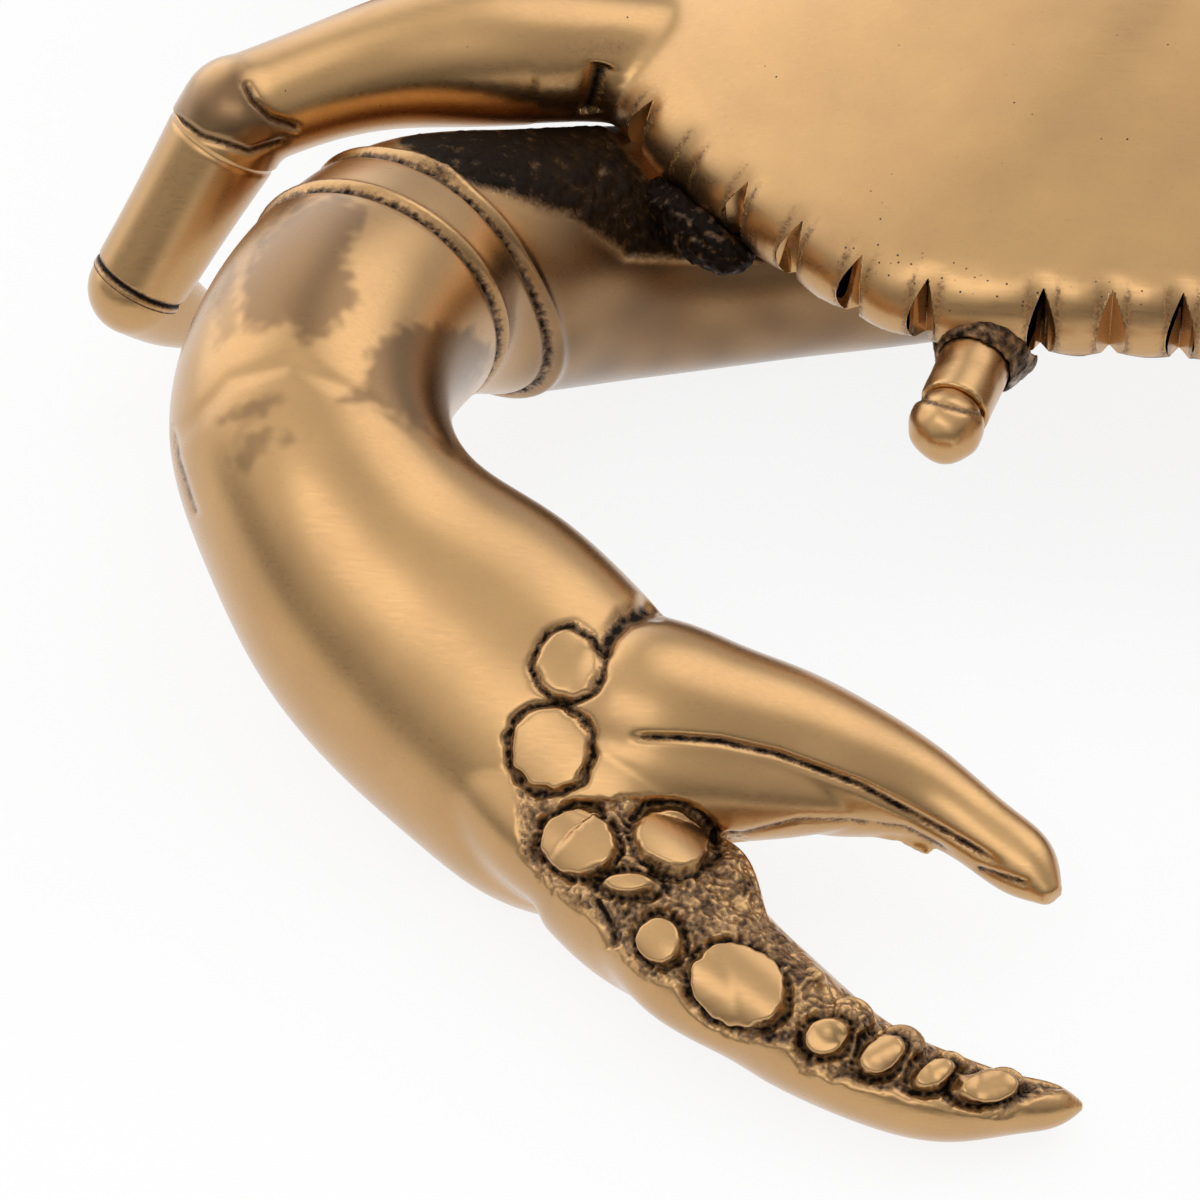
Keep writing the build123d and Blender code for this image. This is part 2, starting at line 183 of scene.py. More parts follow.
def castAsOne(name, forms, voxel):
    # overlapping closed forms cast as one skin, with quads about `voxel` mm across
    def setUp(holder):
        remesh = holder.modifiers.new("cast", "REMESH")
        remesh.mode = "VOXEL"
        remesh.voxel_size = voxel * mm
    return throughModifiers(name, meshOf(name, joined(forms)), setUp)


def triples(items, name):
    values = np.empty(len(items) * 3, np.float32)
    items.foreach_get(name, values)
    return values.reshape(-1, 3).astype(float)


def corners(mesh):
    return triples(mesh.vertices, "co")


def setCorners(mesh, co):
    mesh.vertices.foreach_set("co", co.astype(np.float32).ravel())
    mesh.update()


def outward(mesh):
    return triples(mesh.vertex_normals, "vector")


def edgeEnds(mesh):
    ends = np.empty(len(mesh.edges) * 2, np.int32)
    mesh.edges.foreach_get("vertices", ends)
    return ends.reshape(-1, 2)


def relax(mesh, rounds, weight=1.0, pull=0.5, giveBack=1.03):
    # moves each corner towards the middle of its neighbours, then back again so that tubes keep their girth
    co = corners(mesh)
    ends = edgeEnds(mesh)
    count = np.bincount(ends.ravel(), minlength=len(co))[:, None]
    weight = np.broadcast_to(np.asarray(weight, float), (len(co),))[:, None]
    for k in range(rounds * 2):
        total = np.zeros_like(co)
        for axis in range(3):
            total[:, axis] = np.bincount(ends[:, 0], co[ends[:, 1], axis], len(co))
            total[:, axis] += np.bincount(ends[:, 1], co[ends[:, 0], axis], len(co))
        share = pull if k % 2 == 0 else -giveBack * pull
        co += (total / np.maximum(count, 1) - co) * share * weight
    setCorners(mesh, co)


def setValue(mesh, name, values):
    layer = mesh.attributes.get(name) or mesh.attributes.new(name, "FLOAT", "POINT")
    layer.data.foreach_set("value", np.asarray(values, np.float32))


def grain(points, size, seed=0.0):
    # smooth noise from -1 to 1, with lumps `size` mm across
    spots = points / (size * mm) + seed
    return np.array([noise.noise(Vector(p)) for p in spots])


def step(x, low, high):
    t = np.clip((x - low) / (high - low), 0, 1)
    return t * t * (3 - 2 * t)


def piece(name, mesh, materials, nodes=()):
    thing = placed(name, mesh)
    for material in materials:
        mesh.materials.append(material)
    low, high = np.array(cadBox[0]), np.array(cadBox[1])
    setCorners(mesh, np.clip(corners(mesh), low + 1e-6, high - 1e-6))
    if "castNormal" in mesh.attributes:
        keepCastNormals(mesh)
    else:
        mesh.shade_smooth()
    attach(thing, "root")
    if nodes:
        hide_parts(*nodes)
    return thing


def mirrored(mesh, name):
    other = mesh.copy()
    other.name = name
    other.transform(Matrix.Diagonal((-1, 1, 1, 1)))
    other.flip_normals()
    if "castNormal" in other.attributes:
        layer = other.attributes["castNormal"].data
        turned = triples(layer, "vector") * [-1, 1, 1]
        layer.foreach_set("vector", turned.astype(np.float32).ravel())
    return other


def bothSides(name, mesh, materials):
    left = mirrored(mesh, "left_" + name)
    piece("right_" + name, mesh, materials, ["right_" + name])
    piece("left_" + name, left, materials, ["left_" + name])


# ---- the camera, which also places details seen in the picture ----
pictureSize = 1200     # pixels, as the places in the picture are given below
lens = {"from": (0.0, -1026.088, 909.870), "towards": (-101.990, -138.077, 40.0), "focal": 216.667,
        "sensor": 36}
eyePoint = np.array(lens["from"])
lookWay = unit(np.array(lens["towards"]) - eyePoint)
rightWay = unit(np.cross(lookWay, [0, 0, 1]))
upWay = np.cross(rightWay, lookWay)
focalPixels = lens["focal"] / lens["sensor"] * pictureSize


def drawingPoints(mesh):
    return corners(mesh) / mm - [0, drawingShift, 0]


def onPicture(points):
    # where points in drawing mm fall in the picture
    away = points - eyePoint
    deep = away @ lookWay
    across, down = away @ rightWay, away @ upWay
    middle = pictureSize / 2
    return np.stack([middle + focalPixels * across / deep, middle - focalPixels * down / deep], 1)


def facing(mesh, points):
    # 1 where the surface looks at the camera, 0 where it turns away
    return step((outward(mesh) * unit(eyePoint - points)).sum(1), 0.02, 0.25)


def toLine(spots, line):
    # distance to a drawn line, and how far along it (0 to 1)
    line = np.asarray(line, float)
    stride = np.linalg.norm(np.diff(line, axis=0), axis=1)
    start = np.concatenate([[0], np.cumsum(stride)])
    best = np.full(len(spots), 1e9)
    along = np.zeros(len(spots))
    for k, (a, b) in enumerate(zip(line[:-1], line[1:])):
        way = (b - a) / stride[k]
        t = np.clip((spots - a) @ way, 0, stride[k])
        gap = np.linalg.norm(spots - a - t[:, None] * way, axis=1)
        nearer = gap < best
        best[nearer] = gap[nearer]
        along[nearer] = (start[k] + t[nearer]) / start[-1]
    return best, along


def insideOutline(spots, outline):
    # distance to a closed outline, above zero inside it
    outline = np.asarray(outline, float)
    inside = np.zeros(len(spots), bool)
    for a, b in zip(outline, np.roll(outline, -1, axis=0)):
        crosses = (a[1] > spots[:, 1]) != (b[1] > spots[:, 1])
        rise = b[1] - a[1] if b[1] != a[1] else 1e-9
        inside ^= crosses & (spots[:, 0] < (b[0] - a[0]) * (spots[:, 1] - a[1]) / rise + a[0])
    gap = toLine(spots, np.vstack([outline, outline[:1]]))[0]
    return np.where(inside, gap, -gap)


def finer(mesh, chosen):
    # halves the quads whose corners are all chosen
    form = bmesh.new()
    form.from_mesh(mesh)
    faces = [f for f in form.faces if all(chosen[v.index] for v in f.verts)]
    edges = list({e for f in faces for e in f.edges})
    bmesh.ops.subdivide_edges(form, edges=edges, cuts=1, use_grid_fill=True)
    name = mesh.name
    bpy.data.meshes.remove(mesh)
    return meshOf(name, form)


def faceCentres(mesh):
    # in drawing mm
    return triples(mesh.polygons, "center") / mm - [0, drawingShift, 0]


def storeNormals(mesh):
    layer = mesh.attributes.new("castNormal", "FLOAT_VECTOR", "POINT")
    layer.data.foreach_set("vector", outward(mesh).astype(np.float32).ravel())


def facesOf(mesh, keep, name):
    form = bmesh.new()
    form.from_mesh(mesh)
    form.faces.ensure_lookup_table()
    bmesh.ops.delete(form, geom=[f for f in form.faces if not keep[f.index]], context="FACES")
    return meshOf(name, form)


def keepCastNormals(mesh):
    # the seams stay invisible where the maker ground them flush
    stored = unit(triples(mesh.attributes["castNormal"].data, "vector"))
    corner = np.empty(len(mesh.loops), np.int32)
    mesh.loops.foreach_get("vertex_index", corner)
    size = np.empty(len(mesh.polygons), np.int32)
    mesh.polygons.foreach_get("loop_total", size)
    flat = np.repeat(triples(mesh.polygons, "normal"), size, axis=0)
    lit = stored[corner]
    # faces cut by the file, and corners that it made, take the normal of the face itself
    strange = (lit * flat).sum(1) < 0.7
    lit[strange] = flat[strange]
    mesh.shade_smooth()
    mesh.normals_split_custom_set([tuple(n) for n in lit])


def lift(mesh, heights):
    # moves each corner out along its normal, in mm
    setCorners(mesh, corners(mesh) + outward(mesh) * (heights * mm)[:, None])


# ---- finishes ----
def emptyTree(owner):
    owner.use_nodes = True
    owner.node_tree.nodes.clear()
    return owner.node_tree


def addNode(tree, kind, settings=None, links=None):
    node = tree.nodes.new("ShaderNode" + kind)
    for key, val in (settings or {}).items():
        if key in node.inputs.keys() or isinstance(key, int):
            node.inputs[key].default_value = val
        else:
            setattr(node, key, val)
    for key, source in (links or {}).items():
        tree.links.new(source, node.inputs[key])
    return node


brassLook = {
    "gold": "#CEA267",        # freshly brushed yellow brass
    "deepGold": "#B48A59",    # where handling has warmed it
    "paintedShade": "#5F3F1B",     # painted shade and dark reflections on the wrist, the arm and the front knee
    "patinaAndShadow": "#1F1610",      # brown-black oxide left in the hollows, and the shell's shadow painted on the arm's top
    "rust": "#5C3216",        # warm edge of the oxide
    "roughness": 0.30,
    "lacquer": 0.9,           # a thin clear coat whitens the glints and the edges
    "brushSpacing": 0.5,      # mm between brush lines, real ones are finer and wouldn't show
    "mottleSize": 14.0,       # mm, faint clouds in the polish
    "pitSize": 1.15,          # mm between the casting's pinholes
}


def makeBrass(name, look):
    # Cast brass, ground on a belt and satin polished: warm metal, soft broad glints, fine lines across them.
    # One attribute brings oxide into the hollows and paints the shell's shadow on the arm, another paints
    # shade and dark reflections, and pits scatters pinholes.
    material = bpy.data.materials.new(name)
    tree = emptyTree(material)
    where = addNode(tree, "TexCoord").outputs["Object"]
    oxideAndShadow = addNode(tree, "Attribute", {"attribute_name": "patinaAndShadow"}).outputs["Fac"]
    pits = addNode(tree, "Attribute", {"attribute_name": "pits"}).outputs["Fac"]
    # mask of the painted shade and dark reflections
    paintedShadeMask = addNode(tree, "Attribute", {"attribute_name": "paintedShade"}).outputs["Fac"]
    mottle = addNode(tree, "TexNoise", {"Scale": 1 / (look["mottleSize"] * mm), "Detail": 4.0},
                     {"Vector": where}).outputs["Fac"]
    lines = []
    for turn, seed in (((0.3, 0.2, 0.5), 0.0), ((-0.4, 0.9, 1.3), 7.0)):
        turned = addNode(tree, "Mapping", {"Rotation": turn, "Location": (seed, 0, 0), "Scale": (0.06, 1, 1)},
                         {"Vector": where}).outputs["Vector"]
        lines.append(addNode(tree, "TexNoise", {"Scale": 1 / (look["brushSpacing"] * mm), "Detail": 2.0},
                             {"Vector": turned}).outputs["Fac"])
    brushed = addNode(tree, "Mix", {"data_type": "FLOAT", "Factor": 0.5},
                      {2: lines[0], 3: lines[1]}).outputs[0]
    gritty = addNode(tree, "TexNoise", {"Scale": 1 / (0.8 * mm), "Detail": 5.0, "Roughness": 0.7},
                     {"Vector": where}).outputs["Fac"]
    specks = addNode(tree, "TexVoronoi", {"Scale": 1 / (look["pitSize"] * mm)}, {"Vector": where})
    hole = addNode(tree, "MapRange", {"From Min": 0.13, "From Max": 0.22, "To Min": 1.0, "To Max": 0.0},
                   {"Value": specks.outputs["Distance"]}).outputs["Result"]
    chance = addNode(tree, "SeparateColor", {}, {"Color": specks.outputs["Color"]}).outputs["Red"]
    drawn = addNode(tree, "Math", {"operation": "LESS_THAN"}, {0: chance, 1: pits}).outputs[0]
    pinholes = addNode(tree, "Math", {"operation": "MULTIPLY"}, {0: hole, 1: drawn}).outputs[0]
    # oxide, and the shadow painted with it, grows in grains
    grown = addNode(tree, "Math", {"operation": "MULTIPLY_ADD", 1: 0.7, 2: -0.35}, {0: gritty}).outputs[0]
    uneven = addNode(tree, "Math", {"operation": "ADD"}, {0: oxideAndShadow, 1: grown}).outputs[0]
    dark = addNode(tree, "MapRange", {"From Min": 0.25, "From Max": 0.75},
                   {"Value": uneven}).outputs["Result"]
    gold = addNode(tree, "Mix", {"data_type": "RGBA", 6: hexColour(look["gold"]),
                                 7: hexColour(look["deepGold"])}, {0: mottle}).outputs[2]
    warm = addNode(tree, "MapRange", {"From Min": 0.05, "From Max": 0.5}, {"Value": uneven}).outputs["Result"]
    edged = addNode(tree, "Mix", {"data_type": "RGBA", 7: hexColour(look["rust"])},
                    {0: addNode(tree, "Math", {"operation": "MULTIPLY", 1: 0.6}, {0: warm}).outputs[0],
                     6: gold}).outputs[2]
    coated = addNode(tree, "Mix", {"data_type": "RGBA", 7: hexColour(look["patinaAndShadow"])},
                     {0: dark, 6: edged}).outputs[2]
    # painted shade and dark reflections laid over the metal's colour
    withPaintedShade = addNode(tree, "Mix", {"data_type": "RGBA", 7: hexColour(look["paintedShade"])},
                      {0: paintedShadeMask, 6: coated}).outputs[2]
    holed = addNode(tree, "Mix", {"data_type": "RGBA", 7: hexColour(look["patinaAndShadow"])},
                    {0: pinholes, 6: withPaintedShade}).outputs[2]
    satin = addNode(tree, "MapRange", {"From Min": 0.3, "From Max": 0.7, "To Min": look["roughness"] - 0.05,
                                       "To Max": look["roughness"] + 0.06},
                    {"Value": brushed}).outputs["Result"]
    rough = addNode(tree, "Mix", {"data_type": "FLOAT", 3: 0.6}, {0: dark, 2: satin}).outputs[0]
    scored = addNode(tree, "Bump", {"Strength": 0.05, "Distance": 0.1 * mm},
                     {"Height": brushed}).outputs["Normal"]
    grainy = addNode(tree, "Math", {"operation": "MULTIPLY"}, {0: gritty, 1: dark}).outputs[0]
    grained = addNode(tree, "Bump", {"Strength": 0.8, "Distance": 0.5 * mm},
                      {"Height": grainy, "Normal": scored})
    coat = addNode(tree, "MapRange", {"To Min": look["lacquer"], "To Max": 0.05},
                   {"Value": dark}).outputs["Result"]
    shader = addNode(tree, "BsdfPrincipled", {"Metallic": 1.0, "Coat Roughness": 0.3},
                     {"Base Color": holed, "Coat Weight": coat, "Roughness": rough,
                      "Normal": grained.outputs["Normal"]})
    addNode(tree, "OutputMaterial", {}, {"Surface": shader.outputs["BSDF"]})
    return material


brass = makeBrass("satinPolishedCastBrass", brassLook)
oxideLook = dict(brassLook, gold="#3A2A1E", deepGold="#281C14", roughness=0.55, lacquer=0.1)
filed = makeBrass("filedBrassInTheNotches", oxideLook)


# ---- shell with the eight thighs cast into it ----
shell = {
    "halfWidth": 119.0, "frontReach": 78.0, "backReach": 83.0, "centreY": 5.0,
    "rimHeight": 45.0, "rise": 39.0,
    "frontRim": [(0.0, 0.98), (0.25, 1.0), (0.45, 0.985), (0.70, 0.745), (0.88, 0.47), (0.99, 0.20)],
    "backRim": [(1.0, 0.06), (0.91, 0.42), (0.70, 0.73), (0.40, 0.94), (0.0, 1.0)],
    "sections": [(0.985, 0.0), (1.0, 0.10), (0.985, 0.24), (0.95, 0.345), (0.87, 0.45), (0.74, 0.58),
                 (0.56, 0.75), (0.36, 0.89), (0.18, 0.97), (0.05, 1.0)],
    "voxel": 1.0,
    "blend": 9.0,             # mm over which a leg flows into the dome
    "notchWidth": 5.2, "notchDepth": 4.0, "notchBottom": 41.0, "notchTop": 62.5,
    "mouth": 1.8, "mouthOut": 0.8,      # a wedge's width and reach outside the rim, over the notch's own
    "pad": {"height": 0.4, "halfWidth": 4.2, "reach": 12},
    "valley": {"depth": 0.35, "halfWidth": 2.6},
    "grooves": [([(244, 80), (254, 100), (272, 117), (303, 131)], 1.0, 4.0),
                ([(603, 62), (594, 98), (578, 136)], 1.5, 10.0),
                ([(168, 111), (200, 135), (250, 152), (292, 139)], 0.7, 4.0)],
    # painted dark reflection on the front leg's knee: outline in pixels, strength
    "paintedShadeAreas": [([(172, 112), (192, 82), (238, 64), (262, 100), (300, 130), (292, 141), (250, 153),
                 (200, 136)], 0.8)],
    "pitted": [(840, 262), (950, 300), (1060, 305), (1150, 312), (1150, 285), (1040, 280), (940, 262),
               (850, 235)],
}
legLook = {
    "thigh": [(-14.0, 0.0, 5.5, 12.6), (0.0, 0.0, 7.0, 12.2), (14.0, 0.7, 8.2, 11.5), (27.0, 1.4, 9.6, 10.6),
              (40.5, 4.0, 11.2, 9.4), (54.0, 8.6, 12.7, 9.1), (67.0, 14.0, 14.0, 10.2)],
    "ankle": (88.3, 23.0, 28.0),
    "toe": [(81.6, 19.3, 18.5, 7.2), (75.0, 15.5, 9.5, 4.6), (69.5, 12.0, -2.0, 1.8)],
    "kneeRadius": 10.9, "kneeCapDepth": 5.0, "hipStub": 4.0,
    "shinTop": 10.7, "shinMiddle": 9.6, "ankleRadius": 8.8,
    # by how much the front thigh is thicker and higher at those places
    "swell": [(0.0, 0.0), (1.0, 1.5), (2.6, 3.4), (3.0, 3.2), (2.4, 2.4), (1.5, 1.4), (0.3, 0.3)],
    "front": (147.2, 195.7, 1.0, 1.0, 1.0),      # along the rim, heading, bend, reach, share of the swell
    "second": (176.7, 143.0, -0.5, 1.04),
    "third": (205.0, 127.0, -0.6, 1.0),
    "rear": (233.3, 111.0, -0.8, 0.88),
}


def rimCurve():
    right = [(-x * shell["halfWidth"], -y * shell["frontReach"], 0) for x, y in shell["frontRim"]]
    right += [(-x * shell["halfWidth"], y * shell["backReach"], 0) for x, y in shell["backRim"]]
    left = [(-x, y, z) for x, y, z in right[-2:0:-1]]
    curve = smoothPath(right + left, closed=True, samples=2400)
    return curve


rim = rimCurve()
rimLength = np.concatenate([[0], np.cumsum(np.linalg.norm(np.diff(rim, axis=0), axis=1))])


def rimSpot(along):
    # point of the rim outline and the way straight out of it
    spot = np.array([np.interp(along, rimLength, rim[:, k]) for k in range(3)])
    ahead = np.array([np.interp(along + 0.5, rimLength, rim[:, k]) for k in range(3)])
    way = unit(ahead - spot)
    return spot + [0, shell["centreY"], 0], np.array([-way[1], way[0], 0])


def domeForm():
    profile = smoothPath([(s * 100, r * shell["rise"], 0) for s, r in shell["sections"]], samples=121)
    columns = 720
    form = bmesh.new()
    bmesh.ops.create_grid(form, x_segments=columns, y_segments=120, size=1)
    places = np.array([v.co for v in form.verts])
    column = np.rint((places[:, 0] + 1) / 2 * columns) / columns * (len(rim) - 1)
    row = np.rint((places[:, 1] + 1) / 2 * 120).astype(int)
    edge = rim[np.rint(column).astype(int)]
    share = profile[row, 0] / 100
    spots = np.stack([edge[:, 0] * share, edge[:, 1] * share + shell["centreY"],
                      shell["rimHeight"] + profile[row, 1]], 1)
    for v, spot in zip(form.verts, inFrame(spots)):
        v.co = spot
    return closed(form)


class Leg:
    def __init__(self, along, heading, bend, reach, swell=0.0):
        self.hip = rimSpot(along)[0] * [1, 1, 0]
        turn = math.radians(heading)
        self.out = np.array([math.cos(turn), math.sin(turn), 0])
        self.side = np.array([-self.out[1], self.out[0], 0]) * bend
        self.reach = reach
        self.thigh = [(*self.spot(s, shell["rimHeight"] + more[1] * swell), s[3] + more[0] * swell,
                       s[3] + more[0] * swell) for s, more in zip(legLook["thigh"], legLook["swell"])]
        self.knee = np.array(self.thigh[-1][:3])
        self.ankle = self.spot(legLook["ankle"])
        self.shinWay = unit(self.ankle - self.knee)
        self.kneeJoint = self.knee + self.shinWay * legLook["kneeCapDepth"]
        toeWay = unit(self.spot(legLook["toe"][0]) - self.ankle)
        self.miter = unit(self.shinWay + toeWay)
        self.hinge = unit(np.cross(self.shinWay, toeWay))
        self.hipJoint = self.hip + self.out * legLook["hipStub"]

    def spot(self, station, lift=0.0):
        return self.hip + self.out * station[0] * self.reach + self.side * station[1] + [0, 0,
                                                                                         station[2] + lift]


legs = {name: Leg(*legLook[name]) for name in ("front", "second", "third", "rear")}


def kneeForm(leg):
    # ball of the knee and the cap down to its joint
    radius = legLook["kneeRadius"]
    ball = bmesh.new()
    bmesh.ops.create_icosphere(ball, subdivisions=5, radius=radius * mm)
    bmesh.ops.translate(ball, verts=ball.verts, vec=Vector(inFrame(leg.knee)))
    cap = limbForm([(*(leg.knee + leg.shinWay * d), radius, radius) for d in (0, 2.5,
                                                                              legLook["kneeCapDepth"] + 3)],
                   leg.hinge, along=16)
    return [ball, cap]


def flip(form):
    other = form.copy()
    bmesh.ops.transform(other, matrix=Matrix.Diagonal((-1, 1, 1, 1)), verts=other.verts)
    bmesh.ops.reverse_faces(other, faces=other.faces)
    return other


print("shell: casting dome and legs")
legForms = []
for leg in legs.values():
    for form in [limbForm(leg.thigh, (0, 0, 1), along=80), *kneeForm(leg)]:
        legForms += [form, flip(form)]
shellCast = castAsOne("shell", [domeForm()] + legForms, shell["voxel"])
print("shell faces", len(shellCast.polygons))
co = drawingPoints(shellCast)
nearHip = np.zeros(len(co))
for leg in legs.values():
    for side in (1, -1):
        flat = np.hypot(co[:, 0] * side - leg.hip[0], co[:, 1] - leg.hip[1])
        nearHip = np.maximum(nearHip, 1 - step(flat, 8, 26))
relax(shellCast, 6)
relax(shellCast, 25, weight=nearHip, giveBack=0)

notchSpots = [12.3 * (k + 0.5) for k in range(3)] + [52.5 + 14.6 * k for k in range(7)]


def rightHalf(points):
    # the same spots on the crab's right side, which the picture shows
    halved = points.copy()
    halved[:, 0] = -np.abs(points[:, 0])
    return halved


def rimPlaces(points):
    # for the nearest notch: mm along the rim from it, and mm outside the rim outline
    halved = rightHalf(points)
    along, out = np.full(len(points), 99.0), np.full(len(points), -99.0)
    for spot, way in map(rimSpot, notchSpots):
        sideways = (halved - spot) @ np.cross(way, [0, 0, 1])
        ahead = (halved[:, :2] - spot[:2]) @ way[:2]
        nearer = (np.abs(sideways) < np.abs(along)) & (np.abs(ahead) < 14)
        along[nearer], out[nearer] = sideways[nearer], ahead[nearer]
    return along, out


def carveShell(mesh):
    co = corners(mesh)
    points = drawingPoints(mesh)
    along, out = rimPlaces(points)
    # the rim is rounded into pads between the notches
    onRim = step(out, -7.0, -2.0) * step(points[:, 2], 40, 46) * (1 - step(points[:, 2], 60, 66))
    pad, valley = shell["pad"], shell["valley"]
    bulge = 1 - np.exp(-(along / pad["halfWidth"]) ** 2)
    height = pad["height"] * onRim * bulge * (np.abs(along) < pad["reach"])
    height = height - valley["depth"] * (np.exp(-(along / valley["halfWidth"]) ** 2) * onRim)
    spots = onPicture(rightHalf(points))
    patinaAndShadow = 0.35 * np.exp(-((np.abs(along) - 2.6) / 1.0) ** 2) * onRim
    for line, depth, half in shell["grooves"]:
        gap, share = toLine(spots, line)
        cut = np.exp(-(gap / half) ** 2) * step(share, 0,
                                                0.08) * (1 - step(share, 0.9, 1)) * (points[:, 2] > 50)
        height -= depth * cut
        patinaAndShadow = np.maximum(patinaAndShadow, 0.75 * cut ** 2)
    lift(mesh, height)
    # painted dark reflection on the front knee, on surfaces above the rim
    paintedShade = np.zeros(len(spots))
    for outline, strength in shell["paintedShadeAreas"]:
        paintedShade = np.maximum(paintedShade, step(insideOutline(spots, outline), -12,
                                           14) * strength * (points[:, 2] > 40))
    setValue(mesh, "paintedShade", paintedShade)
    under = (1 - step(points[:, 2], 44.5, 46.5)) * (points[:, 1] < 30)
    setValue(mesh, "patinaAndShadow", np.clip(np.maximum(patinaAndShadow, 0.8 * under), 0, 1))
    pits = step(insideOutline(spots, shell["pitted"]), -10, 25) * 0.8 + 0.008
    setValue(mesh, "pits", pits * (points[:, 2] > 46))


points = drawingPoints(shellCast)
along, out = rimPlaces(points)
atKnee = np.min([toLine(onPicture(rightHalf(points)), line)[0] for line, _, _ in shell["grooves"]],
                axis=0) < 16
nearNotch = (np.abs(along) < 8) & (np.abs(out) < 9) & (points[:, 2] > 40) & (points[:, 2] < 66)
shellCast = finer(shellCast, nearNotch | atKnee)
relax(shellCast, 2)
carveShell(shellCast)
print("shell carved", len(shellCast.polygons))
storeNormals(shellCast)


# ---- notches ----
def notchForm(along):
    # one pull of the file: a wedge set across the rim
    spot, way = rimSpot(along)
    half = shell["notchWidth"] / 2 * shell["mouth"]
    deep = shell["notchDepth"]
    tall = shell["notchTop"] - shell["notchBottom"]
    side = np.cross(way, [0, 0, 1])
    form = bmesh.new()
    bmesh.ops.create_cone(form, cap_ends=True, cap_tris=False, segments=3, radius1=1, radius2=1, depth=1)
    for v in form.verts:
        isApex = v.co.y > 0.5
        across = 0.0 if isApex else math.copysign(half, v.co.x)
        outwardBy = -deep if isApex else deep * shell["mouthOut"]
        height = shell["notchBottom"] + (v.co.z + 0.5) * tall
        v.co = Vector(inFrame(spot + way * outwardBy + side * across + [0, 0, height]))
    bmesh.ops.recalc_face_normals(form, faces=form.faces)
    return form


cutters = []
for along in notchSpots[:-1]:      # the last one is only carved
    wedge = notchForm(along)
    cutters += [wedge, flip(wedge)]
cutterMesh = meshOf("notches", joined(cutters))
cutterMesh.materials.append(filed)
cutter = placed("notches", cutterMesh)
shellCast.materials.append(brass)


def fileNotches(holder):
    cut = holder.modifiers.new("notches", "BOOLEAN")
    cut.object = cutter
    cut.operation = "DIFFERENCE"
    cut.solver = "FAST"
    cut.material_mode = "TRANSFER"


shellCast = throughModifiers("shell", shellCast, fileNotches)
bpy.data.objects.remove(cutter)
print("shell notched", len(shellCast.polygons))


# split the casting into the pieces that the maker brazed together
def nearestLeg(co, plan):
    # which leg's line each corner is nearest to, beyond that leg's hip plane
    owner = np.zeros(len(co), int)
    best = np.full(len(co), 20.0)
    for k, path in enumerate(plan, 1):
        line = path["line"]
        gap = np.full(len(co), 1e9)
        for a, b in zip(line[:-1], line[1:]):
            t = np.clip(((co - a) @ (b - a)) / ((b - a) @ (b - a)), 0, 1)
            gap = np.minimum(gap, np.linalg.norm(co - a - t[:, None] * (b - a), axis=1))
        inside = ((co - path["hip"]) @ path["way"] > 0) & (gap < best)
        owner[inside] = k
        best[inside] = gap[inside]
    return owner


plan = []
for sideName, side in (("right_", 1), ("left_", -1)):
    for legName, leg in legs.items():
        turn = np.array([side, 1, 1])
        line = np.array([s[:3] for s in leg.thigh] + [tuple(leg.kneeJoint)]) * turn
        plan.append({"name": sideName + legName + "_thigh", "line": line, "way": leg.out * turn,
                     "hip": (leg.hipJoint + [0, 0, shell["rimHeight"]]) * turn,
                     "knee": leg.kneeJoint * turn, "kneeWay": leg.shinWay * turn})


def splitShell(mesh):
    form = bmesh.new()
    form.from_mesh(mesh)
    for path in plan:
        co = np.array([v.co for v in form.verts]) / mm - [0, drawingShift, 0]
        gap = np.linalg.norm((co - path["hip"]) - ((co - path["hip"]) @ path["way"])[:, None] * path["way"],
                             axis=1)
        near = set(np.nonzero((gap < 30) & (np.abs((co - path["hip"]) @ path["way"]) < 12))[0])
        faces = [f for f in form.faces if all(v.index in near for v in f.verts)]
        geom = list({v for f in faces for v in f.verts}) + list({e for f in faces for e in f.edges}) + faces
        bmesh.ops.bisect_plane(form, geom=geom, dist=1e-7, plane_co=Vector(inFrame(path["hip"])),
                               plane_no=Vector(path["way"]))
        form.verts.index_update()
    for path in plan:
        spot, way = Vector(inFrame(path["knee"])), Vector(path["kneeWay"])
        near = [f for f in form.faces if (f.calc_center_median() - spot).length < 22 * mm]
        geom = list({v for f in near for v in f.verts}) + list({e for f in near for e in f.edges}) + near
        bmesh.ops.bisect_plane(form, geom=geom, dist=1e-7, plane_co=spot, plane_no=way)
        beyond = [v for v in form.verts if (v.co - spot).length < 22 * mm and (v.co - spot).dot(way) > 1e-6]
        bmesh.ops.delete(form, geom=beyond, context="VERTS")
    form.verts.index_update()
    return form


splitForm = splitShell(shellCast)
whole = meshOf("shellSplit", splitForm)
bpy.data.meshes.remove(shellCast)
owner = nearestLeg(faceCentres(whole), plan)


print("shell: splitting")
for k, path in enumerate(plan, 1):
    piece(path["name"], facesOf(whole, owner == k, path["name"]), [brass, filed], [path["name"]])
piece("carapace_casting", facesOf(whole, owner == 0, "carapace"), [brass, filed], ["carapace"])
bpy.data.meshes.remove(whole)


